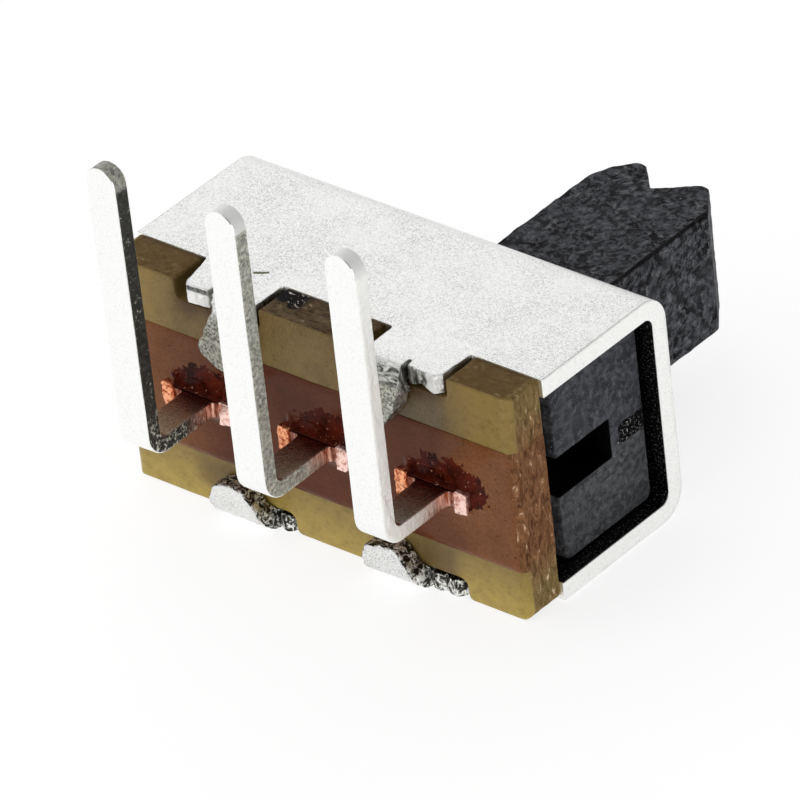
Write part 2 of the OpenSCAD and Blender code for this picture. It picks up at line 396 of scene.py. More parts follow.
# corners of the flat sheet as (x, s, radius, spacing after it), once round: the upper flange's
# edge with its two tabs, the right end, the lower flange's edge with its two, the left end
top_tabs = [
    (-HALF_W, 0, 0.02, 0.2), (-2.78, 0, 0.06, F), (-2.68, -0.4, 0.1, F), (-2.63, -0.7, 0.1, F),
    (-2.56, -0.8, 0.06, F), (-2.12, -0.76, 0.03, F), (-2.1, -0.64, 0.01, F),
    (-2.06, -0.64, 0.01, F), (-2.0, -0.8, 0.08, F), (-1.8, ts(0.12), 0.15, F),
    (-1.86, ts(0.37), 0.1, F), (-2.03, ts(0.72), 0.12, F), (-2.1, ts(0.86), 0.08, F),
    (-1.98, ts(1.02), 0.1, F), (-1.72, ts(1.15), 0.1, F), (-1.3, ts(1.16), 0.1, F),
    (-1.17, ts(0.95), 0.15, F), (-1.13, -0.8, 0.2, F), (-1.13, 0, 0.08, 0.2), (1.21, 0, 0.08, F),
    (1.2, ts(0.9), 0.15, F), (1.32, ts(1.14), 0.1, F), (1.66, ts(1.15), 0.1, F),
    (1.88, ts(0.99), 0.08, F), (2.06, ts(0.72), 0.08, F), (2.2, ts(0.36), 0.1, F),
    (2.17, ts(0.16), 0.1, F), (2.06, -0.82, 0.05, F), (2.06, -0.64, 0.01, F), (2.1, -0.64, 0.01, F),
    (2.13, -0.78, 0.04, F), (2.45, -0.8, 0.05, F), (2.7, -0.8, 0.04, F), (2.8, -0.7, 0.03, F),
    (2.83, 0, 0.05, 0.2), (HALF_W, 0, 0.02, 0.3), (HALF_W, S_ARC1, 0, 0.06),
    (HALF_W, S_WEB, 0, 0.3), (HALF_W, S_ARC2, 0, 0.06), (HALF_W, S_LOW, 0, 0.3),
]
low_tabs = [
    (HALF_W, S_END, 0.02, 0.2), (2.8, S_END, 0.05, F), (2.84, S_END + 0.75, 0.06, F),
    (2.7, S_END + 0.86, 0.05, F), (2.5, S_END + 0.8, 0.05, F), (2.36, S_END + 0.86, 0.03, F),
    (2.2, S_END + 0.84, 0.03, F), (2.2, S_END + 0.7, 0.01, F), (2.16, S_END + 0.7, 0.01, F),
    (2.13, bs(0.2), 0.05, F), (2.06, bs(0.34), 0.08, F), (1.9, bs(0.62), 0.08, F),
    (1.72, bs(0.78), 0.08, F), (1.4, bs(0.76), 0.08, F), (1.1, bs(0.66), 0.08, F),
    (1.02, bs(0.4), 0.1, F), (1.02, S_END + 0.2, 0.1, F), (1.02, S_END, 0.05, 0.2),
    (-0.8, S_END, 0.05, F), (-0.8, S_END + 0.78, 0.06, F), (-0.92, S_END + 0.86, 0.05, F),
    (-1.04, S_END + 0.8, 0.03, F), (-1.06, S_END + 0.7, 0.01, F), (-1.1, S_END + 0.7, 0.01, F),
    (-1.13, bs(0.22), 0.05, F), (-1.3, bs(0.5), 0.08, F), (-1.5, bs(0.74), 0.08, F),
    (-1.8, bs(0.8), 0.08, F), (-2.14, bs(0.72), 0.1, F), (-2.27, bs(0.42), 0.1, F),
    (-2.26, S_END + 0.2, 0.1, F), (-2.26, S_END, 0.05, 0.2), (-HALF_W, S_END, 0.02, 0.3),
    (-HALF_W, S_LOW, 0, 0.06), (-HALF_W, S_ARC2, 0, 0.3), (-HALF_W, S_WEB, 0, 0.06),
    (-HALF_W, S_ARC1, 0, 0.3),
]
outline = rounded(top_tabs + low_tabs, 0.3)
# the tabs' ends are ragged
for p in outline:
    d = -p.y if p.y < 0 else p.y - S_END
    if d > 0.5:
        k = min(1, (d - 0.5) / 0.4)
        p.x += 0.03 * k * noise.noise(Vector((p.x * 8, p.y * 8, 3)))
        p.y += 0.03 * k * noise.noise(Vector((p.x * 8, p.y * 8, 9)))
WIN_W = KNOB_W + PITCH + 2 * PLAY
WIN_H = KNOB_H + 2 * PLAY
s_top = S_WEB + (BODY_H - BEND - (BODY_H / 2 + WIN_H / 2))
s_bot = S_WEB + (BODY_H - BEND - (BODY_H / 2 - WIN_H / 2))
window = rounded([(-WIN_W / 2, s_top, 0.1), (-WIN_W / 2, s_bot, 0.1), (WIN_W / 2, s_bot, 0.1),
                  (WIN_W / 2, s_top, 0.1)], 0.25)
fill = grid(-HALF_W, HALF_W, 0.3, 0, S_ARC1, 0.3)
fill += grid(-HALF_W, HALF_W, 0.3, S_ARC1, S_WEB, ARC / 10, 0)
fill += grid(-HALF_W, HALF_W, 0.3, S_WEB, S_ARC2, 0.3)
fill += grid(-HALF_W, HALF_W, 0.3, S_ARC2, S_LOW, ARC / 10, 0)
fill += grid(-HALF_W, HALF_W, 0.3, S_LOW, S_END, 0.3)
fill += grid(-2.85, -1.1, F, ts(1.2), -0.02, F)
fill += grid(1.15, 2.85, F, ts(1.2), -0.02, F)
fill += grid(-2.35, -0.75, F, S_END + 0.02, bs(0.85), F)
fill += grid(0.95, 2.85, F, S_END + 0.02, bs(0.85), F)
shell = slab("shell_sheet", [outline, window], fill, shell_place, SHEET, rim=0.022, rag=0.012,
             back_rim=0.012)
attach(shell, "housing")
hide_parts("shell")

# ---------------------------------------------------------------- the base plate
PW = plate_hi.x
CHAMFER = 0.1
NOTCH_D = 0.37                    # depth of the notches that hold the tabs
NOTCH_R = 0.14
NEAR, FAR = 1.03, 2.93            # a whole notch's sides, from the middle
NOTCH_Z = BODY_H - NOTCH_D
corners = [
    (-PW, 0, 0.12), (-2.36, 0, 0.1), (-2.36, NOTCH_D, NOTCH_R), (-0.74, NOTCH_D, NOTCH_R),
    (-0.74, 0, 0.12), (NEAR, 0, 0.12), (NEAR, NOTCH_D, NOTCH_R), (FAR, NOTCH_D, NOTCH_R),
    (FAR, 0, 0.1), (PW, 0, 0.18), (PW, BODY_H, 0.05), (FAR, BODY_H, 0.05), (FAR, NOTCH_Z, 0.1),
    (NEAR, NOTCH_Z, 0.1), (NEAR, BODY_H, 0.05), (-NEAR, BODY_H, 0.05), (-NEAR, NOTCH_Z, 0.1),
    (-2.84, NOTCH_Z, NOTCH_R), (-2.84, BODY_H, 0.05), (-PW, BODY_H, 0.05),
]
plate_out = rounded(corners, 0.12)
slots = []
for px in PIN_X:
    x0, x1 = px - BLADE_W / 2, px + BLADE_W / 2
    z0, z1 = BLADE_Z - PIN_T / 2, BLADE_Z + PIN_T / 2
    slots.append(rounded([(x0, z0, 0), (x1, z0, 0), (x1, z1, 0), (x0, z1, 0)], 0.2))


def plate_place(x, z, t):
    """the outer face waves slightly and is chamfered at the plate's two ends"""
    if t < CHAMFER:
        t += 0.006 + 0.006 * fbm(Vector((x * 1.1, z * 1.3, t * 2 + 5)))
        if t < CHAMFER:
            t += max(0.0, abs(x) - (PW - CHAMFER))
    return Vector((x, Y_FACE + t, z))


plate = slab("phenolic_base", [plate_out] + slots, grid(-PW, PW, 0.12, 0, BODY_H, 0.12), plate_place,
             Y_EDGE - Y_FACE, rim=0.05, rag=0.012, walls=5, cut=True)
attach(plate, "housing")
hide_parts("base_plate")

# ---------------------------------------------------------------- the resin band
SEAL_Z0, SEAL_Z1 = seal_lo.z, seal_hi.z
# the band's path round the plate, seen from above, and the distance to each of its points
path = [Vector((-PW, Y_EDGE)), Vector((-PW, Y_FACE + CHAMFER)), Vector((-PW + CHAMFER, Y_FACE)),
        Vector((PW - CHAMFER, Y_FACE)), Vector((PW, Y_FACE + CHAMFER)), Vector((PW, Y_EDGE))]
lens = [0.0]
for a, b in zip(path, path[1:]):
    lens.append(lens[-1] + (b - a).length)


def on_path(u):
    """the point of the path at the distance u, and the outward direction there"""
    u = min(max(u, 0.0), lens[-1])
    for i in range(len(path) - 1):
        if u <= lens[i + 1] or i == len(path) - 2:
            d = (path[i + 1] - path[i]).normalized()
            return path[i] + d * (u - lens[i]), Vector((d.y, -d.x))
    return None


U0 = (lens[2] + lens[3]) / 2      # the path's middle, where x is 0


def seal_height(x, z):
    """thickness of the resin: thin at its edges, swollen and dished round each root"""
    edge = min(z - SEAL_Z0, SEAL_Z1 - z)
    full = 0.022 if abs(x) < PW else 0.01
    h = full * min(1.0, max(0.0, edge / 0.05)) ** 0.5
    h += 0.005 * fbm(Vector((x * 1.6, z * 2.0, 8)))
    for k, px in enumerate(PIN_X):
        rx, rz = x - px, z - BLADE_Z
        if abs(rx) > 1.6:
            continue
        wob = 0.05 * noise.noise(Vector((x * 3, z * 3, 5)))
        dx, dz = max(0.0, abs(rx) - 0.6), max(0.0, abs(rz) - 0.1)
        h += 0.075 * math.exp(-(math.hypot(dx, dz) / 0.13) ** 2)
        pool = step_in(0.5 + wob - abs(rx), 0, 0.05) * step_in(rz, 0.17, 0.2)
        h -= 0.075 * pool * step_in(0.4 + wob - rz, 0, 0.05)
        lip = math.exp(-((abs(rx) - 0.56) / 0.05) ** 2) * step_in(rz, -0.2, 0.0)
        h += 0.03 * lip * step_in(0.5 - rz, 0, 0.15)
        if k == 2:
            h += 0.05 * math.exp(-(math.hypot(rx - 0.97, rz) / 0.06) ** 2)
    return max(0.004, h)


def seal_place(u, z, t):
    p, n = on_path(u)
    if t < 0.02:
        p = p + n * seal_height(u - U0, z)
    else:
        p = p - n * 0.01
    return Vector((p.x, p.y, z))


seal_out = rounded([(0.02, SEAL_Z0, 0), (lens[-1] - 0.02, SEAL_Z0, 0), (lens[-1] - 0.02, SEAL_Z1, 0),
                    (0.02, SEAL_Z1, 0)], 0.08)
seal_fill = grid(0, lens[-1], 0.07, SEAL_Z0, SEAL_Z1, 0.07)
seal_fill = [p for p in seal_fill
             if all(abs(p[0] - U0 - px) > 0.92 or abs(p[1] - BLADE_Z) > 0.55 for px in PIN_X)]
for px in PIN_X:
    seal_fill += grid(U0 + px - 0.9, U0 + px + 0.9, 0.026, BLADE_Z - 0.53, BLADE_Z + 0.53, 0.026)


def in_pool(p):
    """the deep red pool over each root, with a jagged outline"""
    for px in PIN_X:
        rx, rz = p.x - px - 0.27, p.z - BLADE_Z - 0.2
        ragged = 0.45 * fbm(Vector((p.x * 4, p.z * 4, 3)))
        ragged += 0.12 * noise.noise(Vector((p.x * 17, p.z * 17, 3)))
        if (rx / 0.9) ** 2 + (rz / (0.56 if rz > 0 else 0.36)) ** 2 < 0.9 + ragged:
            return p.y < Y_FACE + 0.05
    return False


seal = slab("resin_band", [seal_out], seal_fill, seal_place, 0.05, rim=0.004, walls=0)
recut(seal, 1, in_pool)
recut(seal, 2, lambda p: abs(p.x) > PW - 0.07)
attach(seal, "housing")
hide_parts("seal_resin")

# ---------------------------------------------------------------- terminals
Y_IN = pins[1][1].y
LEG = Y_IN - PIN_Y - PIN_TURN
ARC_P = PIN_TURN * math.pi / 2


def pin_place(px, lean, seed):
    """bends a flat terminal: s from the blade's inner end, t in from its outer face"""
    def place(x, s, t):
        wob = 0.006 * fbm(Vector((x * 3, s * 1.2, seed)), 2)
        t2 = t + wob * (1 - t / PIN_T)
        if s <= LEG:
            return Vector((px + x, Y_IN - s, BLADE_Z - PIN_T / 2 + t2))
        a = (s - LEG) / PIN_TURN
        cy, cz = PIN_Y + PIN_TURN, BLADE_Z - PIN_T / 2 + PIN_TURN
        if a <= math.pi / 2:
            return Vector((px + x, cy - (PIN_TURN - t2) * math.sin(a), cz - (PIN_TURN - t2) * math.cos(a)))
        up = s - LEG - ARC_P
        return Vector((px + x + lean * up * up, PIN_Y + t2, cz + up))

    return place


S_ROOT = Y_IN - Y_OUT
S_TIP = LEG + ARC_P + (PIN_TOP - (BLADE_Z - PIN_T / 2 + PIN_TURN))
w, b, sh = PIN_W / 2, BLADE_W / 2, SHOULDER_W / 2
pin_loop = rounded([
    (-b, 0, 0.03, 0.2), (b, 0, 0.03, 0.2), (b, S_ROOT - 0.03, 0.0, 0.05),
    (sh, S_ROOT - 0.02, 0.02, 0.05), (sh, S_ROOT + 0.08, 0.04, 0.05),
    (w + 0.02, S_ROOT + 0.08, 0.06, 0.08), (w, S_ROOT + 0.3, 0.1, 0.08),
    (w, S_TIP, w * 0.98, 0.05), (-w, S_TIP, w * 0.98, 0.08), (-w, S_ROOT + 0.3, 0.1, 0.08),
    (-w - 0.02, S_ROOT + 0.08, 0.06, 0.05), (-sh, S_ROOT + 0.08, 0.04, 0.05),
    (-sh, S_ROOT - 0.02, 0.02, 0.05), (-b, S_ROOT - 0.03, 0.0, 0.2),
], 0.1)
# node, slight lean of the leg, and the painted light on its sheared edges, low for painted shade and high
# for painted light
terminals = [("terminal_left", -0.0012, 0.05), ("terminal_common", 0.0, 0.55),
             ("terminal_right", 0.0, 0.98)]
strips = []
for k, (node, lean, painted_light) in enumerate(terminals):
    fill = grid(-0.7, 0.7, 0.1, 0, LEG, 0.1)
    fill += grid(-0.3, 0.3, 0.1, LEG, LEG + ARC_P, 0.05, 0)
    fill += grid(-0.3, 0.3, 0.1, LEG + ARC_P, S_TIP, 0.12)
    ob = slab(node + "_strip", [pin_loop], fill, pin_place(PIN_X[k], lean, k * 3.3), PIN_T, rim=0.03,
              rag=0.008, back_rim=0.02, walls=4, painted_light=painted_light, cut=True)
    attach(ob, "housing")
    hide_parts(node)
    strips.append(ob)


def lug_place(px, k, side):
    """one of the staked lugs: rough all over, its outer face slightly domed"""
    def place(x, z, t):
        u = 0.016 * fbm(Vector((x * 8 + k * 5, z * 8, t * 8 + side)))
        return Vector((px + x + u, Y_OUT - 0.135 + t + 1.4 * u + 0.05 * abs(z - BLADE_Z), z + u))

    return place


# staked lugs at both ends of each shoulder, bare copper where they were struck
lugs = []
for k, px in enumerate(PIN_X):
    for side in (-1, 1):
        x0, x1 = (0.48, 0.74) if side > 0 else (-0.74, -0.5)
        z0, z1 = BLADE_Z - 0.24, BLADE_Z + 0.23
        q = [rng.uniform(-0.025, 0.025) for _ in range(8)]
        loop = rounded([(x0 + q[0], z0 + q[1], 0.03), (x1 + q[2], z0 + q[3] + 0.02, 0.03),
                        (x1 + q[4], z1 + q[5] - 0.02, 0.03), (x0 + q[6], z1 + q[7], 0.04)], 0.05)
        # painted light: the right-hand lugs paler and pinker, the left-hand ones orange
        ob = slab("staked_lug_%d_%s" % (k + 1, "l" if side < 0 else "r"), [loop],
                  grid(x0, x1, 0.045, z0, z1, 0.045), lug_place(px, k, side), 0.3, rim=0.03,
                  rag=0.015, painted_light=0.0 if side < 0 else 1.0)
        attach(ob, "housing")
        lugs.append(ob)

# ---------------------------------------------------------------- the slider
SW0, SW1 = slider_lo.x, slider_hi.x
SY0 = slider_lo.y
SY1 = Y_WEB - SHEET - WEB_GAP
SZ0, SZ1 = slider_lo.z, slider_hi.z
SLOT_H = 0.72                     # the slot that the contact clip sits in
SLOT_Y = Y_EDGE + BLADE_LEN + CLIP_T + 0.2
slot_z0, slot_z1 = BLADE_Z - SLOT_H / 2, BLADE_Z + SLOT_H / 2
section = rounded([(SY0, SZ0, 0.15), (SY1, SZ0, 0.15), (SY1, SZ1, 0.15), (SY0, SZ1, 0.15),
                   (SY0, slot_z1, 0.04), (SLOT_Y, slot_z1, 0.03), (SLOT_Y, slot_z0, 0.03),
                   (SY0, slot_z0, 0.04)], 0.08)
# middle of the broken moulding gate on the end face, and half its size
GATE_Y, GATE_Z = Y_EDGE + 2.38, 1.98
GATE_W, GATE_H = 0.4, 0.25


def block_place(y, z, t):
    """the block's section run along X, its end face waved and rough at the gate"""
    if t < 0.05:
        gy, gz = (y - GATE_Y) / GATE_W, (z - GATE_Z) / GATE_H
        if abs(gy) < 1 and abs(gz) < 1:
            rough = 0.03 + 0.05 * fbm(Vector((y * 9, z * 9, 2)))
            t -= max(0.0, rough) * (1 - gy ** 2) * (1 - gz ** 2)
        t += 0.004 * fbm(Vector((y * 3, z * 3, 7)))
    return Vector((SW1 - t, y, z))


block = slab("slider_block", [section], grid(SY0, SY1, 0.06, SZ0, SZ1, 0.06), block_place, SW1 - SW0,
             rim=0.05, rag=0.006, walls=12)
KX = (SW0 + SW1) / 2
KNOB_TOP = BODY_H / 2 + KNOB_H / 2
TIP = slider_hi.y
x0, x1 = KX - KNOB_W / 2, KX + KNOB_W / 2
plan = rounded([(x0, SY1 - 0.1, 0), (x1, SY1 - 0.1, 0), (x1, TIP - 0.7, 0.08),
                (KX + 0.76, TIP - 0.05, 0.12), (KX + 0.6, TIP - 0.03, 0.14),
                (KX - 0.1, TIP - 0.54, 0.04), (KX - 0.58, TIP - 0.03, 0.1),
                (KX - 0.76, TIP - 0.01, 0.14), (KX - 1.08, TIP - 0.32, 0.3), (x0, TIP - 0.77, 0.12)], 0.07)


def knob_place(x, y, t):
    """the handle's plan run down from its top face, with an uneven surface"""
    u = 0.012 * fbm(Vector((x * 2.2, y * 2.2, t * 2.2)))
    v = 0.005 * fbm(Vector((x * 9, y * 9, t * 9)))
    if t < 0.02:
        t += 0.008 + u + v
    return Vector((x + u + v, y, KNOB_TOP - t))


knob = slab("slider_handle", [plan], grid(x0, x1, 0.07, SY1, TIP, 0.07), knob_place, KNOB_H, rim=0.05,
            rag=0.01, walls=24)
for ob in (block, knob):
    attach(ob, "slider_body")
    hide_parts("slider")


# ---------------------------------------------------------------- materials
class Graph:
    """One material's nodes, under short names. Sizes are in millimetres."""

    def __init__(self, name):
        self.mat = bpy.data.materials.new(name)
        self.mat.use_nodes = True
        self.nodes = self.mat.node_tree.nodes
        self.links = self.mat.node_tree.links
        self.nodes.clear()
        out = self.new("ShaderNodeOutputMaterial")
        self.bsdf = self.new("ShaderNodeBsdfPrincipled")
        self.links.new(self.bsdf.outputs[0], out.inputs[0])
        self.coord = self.new("ShaderNodeTexCoord").outputs["Object"]

    def new(self, kind, **props):
        node = self.nodes.new(kind)
        for k, v in props.items():
            setattr(node, k, v)
        return node

    def put(self, socket, value):
        """link a node's output, or set a plain value"""
        if hasattr(value, "is_output"):
            self.links.new(value, socket)
        elif isinstance(value, tuple) and len(value) == 3 and socket.type == "RGBA":
            socket.default_value = (*value, 1)
        else:
            socket.default_value = value

    def set(self, **sockets):
        for k, v in sockets.items():
            self.put(self.bsdf.inputs[k.replace("_", " ")], v)

    def on(self, *objects):
        """the next material slot of each new piece"""
        for ob in objects:
            ob.data.materials.append(self.mat)

    def scaled(self, sx, sy, sz):
        m = self.new("ShaderNodeMapping")
        self.put(m.inputs["Vector"], self.coord)
        m.inputs["Scale"].default_value = (sx, sy, sz)
        return m.outputs[0]

    def noise(self, size, detail=3, rough=0.5, vector=None, distortion=0.0):
        n = self.new("ShaderNodeTexNoise")
        self.put(n.inputs["Vector"], self.coord if vector is None else vector)
        n.inputs["Scale"].default_value = 1 / (size * MM)
        n.inputs["Detail"].default_value = detail
        n.inputs["Roughness"].default_value = rough
        n.inputs["Distortion"].default_value = distortion
        return n.outputs["Fac"]

    def dots(self, size, a, b):
        """1 in a dot of each cell, fading to 0 from a to b"""
        n = self.new("ShaderNodeTexVoronoi")
        self.put(n.inputs["Vector"], self.coord)
        n.inputs["Scale"].default_value = 1 / (size * MM)
        return self.span(n.outputs["Distance"], a, b, 1.0, 0.0)

    def attribute(self, name):
        return self.new("ShaderNodeAttribute", attribute_name=name).outputs["Fac"]

    def axes(self):
        n = self.new("ShaderNodeSeparateXYZ")
        self.put(n.inputs[0], self.coord)
        return n.outputs

    def calc(self, op, a, b=0.0):
        n = self.new("ShaderNodeMath", operation=op)
        self.put(n.inputs[0], a)
        self.put(n.inputs[1], b)
        return n.outputs[0]

    def times(self, *factors):
        res = factors[0]
        for factor in factors[1:]:
            res = self.calc("MULTIPLY", res, factor)
        return res

    def span(self, value, a, b, c=0.0, d=1.0):
        """c where value is a, d where it is b, clamped"""
        n = self.new("ShaderNodeMapRange")
        self.put(n.inputs[0], value)
        for i, v in enumerate((a, b, c, d)):
            self.put(n.inputs[i + 1], v)
        return n.outputs[0]

    def zone(self, value, a, b, c=0.0, d=1.0):
        """span for a place, with a and b in millimetres"""
        return self.span(value, a * MM, b * MM, c, d)

    def between(self, value, middle, half, soft):
        """1 where value is within half of middle, fading to 0 over soft"""
        gap = self.calc("ABSOLUTE", self.calc("SUBTRACT", value, middle * MM))
        return self.zone(gap, half, half + soft, 1.0, 0.0)

    def ragged(self, value, size, detail, reach):
        """a place moved about by noise, over reach in all"""
        shift = self.calc("SUBTRACT", self.noise(size, detail), 0.5)
        return self.calc("ADD", value, self.times(shift, reach * MM))

    def mix(self, f, a, b):
        n = self.new("ShaderNodeMix", data_type="RGBA", blend_type="MIX")
        self.put(n.inputs[0], f)
        self.put(n.inputs[6], a)
        self.put(n.inputs[7], b)
        return n.outputs[2]

    def tint(self, value, a, b, first, last):
        """the colour first where value is a, last where it is b"""
        return self.mix(self.span(value, a, b), first, last)

    def bump(self, height, strength, distance, after=None):
        n = self.new("ShaderNodeBump")
        self.put(n.inputs["Height"], height)
        n.inputs["Strength"].default_value = strength
        n.inputs["Distance"].default_value = distance * MM
        if after is not None:
            self.put(n.inputs["Normal"], after)
        return n.outputs[0]


def tin():
    """the shell: bright tin, crushed and torn at the tabs"""
    g = Graph("tinned_steel")
    speck = g.noise(0.026, 3, 0.65)
    blotch = g.noise(0.5, 4, 0.6)
    cluster = g.noise(1.1, 3, 0.6)
    x, y, z = g.axes()
    dark = g.tint(cluster, 0.4, 0.6, (0.62, 0.62, 0.61), (0.40, 0.40, 0.42))
    col = g.tint(speck, 0.33, 0.55, dark, (0.885, 0.89, 0.87))
    col = g.mix(g.span(blotch, 0.35, 0.7, 0.0, 0.2), col, (0.78, 0.78, 0.75))
    # a short scratch on the upper flange
    sx, sy = g.calc("ADD", x, 0.0017), g.calc("SUBTRACT", y, (Y_EDGE + 0.11) * MM)
    along = g.calc("ADD", g.times(sx, 0.856), g.times(sy, 0.517))
    across = g.calc("SUBTRACT", g.times(sy, 0.856), g.times(sx, 0.517))
    across = g.ragged(across, 0.15, 1, 0.04)
    mark = g.times(g.between(along, 0, 0.125, 0.02), g.between(across, 0, 0.026, 0.014),
                   g.zone(z, 4.0, 4.1))
    col = g.mix(mark, col, (0.10, 0.10, 0.05))
    # the tongues, crushed and darker where they were folded over, with painted shade in their wrinkles'
    # creases and painted highlights on the ridges
    past = g.zone(y, Y_OUT + 0.06, Y_OUT - 0.12)
    upper = g.zone(z, 1.5, 2.5)
    crushed = g.noise(0.05, 3, 0.7)
    crease = g.noise(0.07, 4, 0.65, g.scaled(0.3, 1, 1), 1.0)
    wrinkle = g.times(past, g.zone(z, 4.0, 4.12), g.zone(x, 0.0, 1.0))
    fold = g.times(past, upper, g.zone(z, 4.2, 4.05))
    darker_mottle = g.tint(crushed, 0.40, 0.62, (0.15, 0.15, 0.12), (0.64, 0.64, 0.56))
    col = g.mix(fold, col, darker_mottle)
    # painted shade in the wrinkles' creases, painted highlights on their ridges
    col = g.mix(wrinkle, col, g.tint(crease, 0.42, 0.58, (0.10, 0.10, 0.09), (0.80, 0.80, 0.76)))
    # sheared edges: bright at the shell's ends; round the tabs torn, with painted shade and painted glints
    side = g.attribute("side")
    ends = g.zone(g.calc("ABSOLUTE", x), HALF_W - 0.2, HALF_W - 0.1)
    clean = g.tint(speck, 0.36, 0.5, (0.80, 0.80, 0.78), (0.94, 0.945, 0.92))
    col = g.mix(g.times(side, ends), col, clean)
    torn = g.noise(0.11, 4, 0.65, distortion=1.2)
    streak = g.noise(0.10, 4, 0.65, g.scaled(1, 1, 0.3), 0.6)
    tabs = g.times(side, g.zone(y, Y_EDGE - 0.25, Y_EDGE - 0.5))
    # painted shade on the tabs' sheared walls, with painted glints
    grain = g.tint(torn, 0.46, 0.58, (0.03, 0.026, 0.018), (0.93, 0.93, 0.89))
    grain = g.mix(upper, grain, g.tint(streak, 0.40, 0.60, (0.12, 0.115, 0.10), (0.86, 0.86, 0.82)))
    col = g.mix(tabs, col, grain)
    white = g.times(tabs, g.zone(y, Y_OUT - 0.02, Y_OUT + 0.02), upper)
    left_ear = g.zone(x, -2.08, -2.16)
    right_ear = g.zone(x, 2.52, 2.58)
    col = g.mix(g.times(white, g.calc("MAXIMUM", left_ear, right_ear)), col, (0.97, 0.97, 0.95))
    # painted shade: a dark line in the crease along the top of the left ear's front end
    lip = g.times(white, left_ear, g.zone(z, BODY_H - 0.13, BODY_H - 0.10),
                  g.zone(z, BODY_H - 0.012, BODY_H - 0.03))
    col = g.mix(lip, col, g.tint(crushed, 0.4, 0.6, (0.06, 0.06, 0.06), (0.30, 0.30, 0.29)))
    # painted shade: a dark line along the top edge of the shell's ends
    end_edge_shade = g.times(g.span(g.calc("ABSOLUTE", g.calc("SUBTRACT", side, 0.4)), 0.1, 0.4, 0.75, 0.0), ends,
                   g.zone(z, 3.9, 4.1))
    col = g.mix(end_edge_shade, col, (0.16, 0.16, 0.15))
    # painted shade on the shell's inner faces, with painted glints
    inner = g.attribute("inner")
    inner_shade_specks = g.noise(0.035, 2, 0.6)
    col = g.mix(inner, col, g.tint(inner_shade_specks, 0.58, 0.66, (0.02, 0.02, 0.02), (0.7, 0.7, 0.68)))
    g.set(Base_Color=col, Metallic=1.0, Roughness=g.span(speck, 0.3, 0.7, 0.40, 0.28))
    b = g.bump(speck, 0.5, 0.012)
    b = g.bump(g.times(crushed, fold), 0.5, 0.03, b)
    b = g.bump(g.times(crease, wrinkle), 1.0, 0.08, b)
    b = g.bump(g.times(torn, tabs), 0.8, 0.04, b)
    g.set(Normal=g.bump(g.noise(0.12, 2), 0.12, 0.02, b))
    return g


def phenolic():
    """the base's faces: brown laminate with its weave showing"""
    g = Graph("phenolic_laminate")
    x, y, z = g.axes()
    fibre = g.noise(0.09, 4, 0.7, g.scaled(0.5, 1, 0.6))
    weave = g.noise(0.03, 2, 0.6, g.scaled(1, 1, 0.35))
    cloud = g.noise(0.9, 3, 0.55)
    edge = g.calc("ABSOLUTE", x)
    col = g.tint(cloud, 0.3, 0.7, (0.15, 0.088, 0.024), (0.225, 0.148, 0.042))
    # painted light: lighter and yellower towards the bottom, where light from the floor comes through the
    # plate
    col = g.mix(g.zone(z, 1.3, 0.2, 0.0, 1.0), col, (0.46, 0.33, 0.075))
    col = g.mix(g.times(g.zone(edge, 2.8, 3.4), g.zone(z, 2.4, 3.0)), col, (0.28, 0.185, 0.045))
    # painted reflection: a greyer sheen between the middle and right terminals
    painted_sheen = g.times(g.zone(x, 2.9, 2.6), g.zone(x, 1.2, 1.6))
    col = g.mix(g.times(painted_sheen, g.zone(z, 1.2, 2.2, 0.5, 0.9)), col, (0.135, 0.098, 0.055))
    col = g.mix(g.span(fibre, 0.35, 0.6, 0.3, 0.0), col, (0.10, 0.055, 0.012))
    col = g.mix(g.span(weave, 0.5, 0.72, 0.0, 0.3), col, (0.42, 0.30, 0.12))
    # painted shade round the upper notches, where the ears sit
    shade_reach = g.ragged(z, 0.35, 2, 0.6)
    near = g.times(g.zone(shade_reach, BODY_H - NOTCH_D - 0.34, BODY_H - NOTCH_D - 0.1),
                   g.between(edge, 2.2, 0.45, 0.3))
    col = g.mix(g.times(near, 0.85), col, (0.075, 0.035, 0.008))
    # painted shade on the plate above the lower tabs
    low = g.times(g.zone(z, 1.15, 0.75), g.zone(z, 0.2, 0.4), g.between(edge, 2.35, 0.25, 0.35))
    col = g.mix(g.times(low, 0.6), col, (0.11, 0.06, 0.02))
    g.set(Base_Color=col, Roughness=g.span(fibre, 0.3, 0.7, 0.24, 0.40),
          Specular_IOR_Level=0.24)
    b = g.bump(fibre, 0.18, 0.015)
    g.set(Normal=g.bump(weave, 0.10, 0.008, b))
    return g


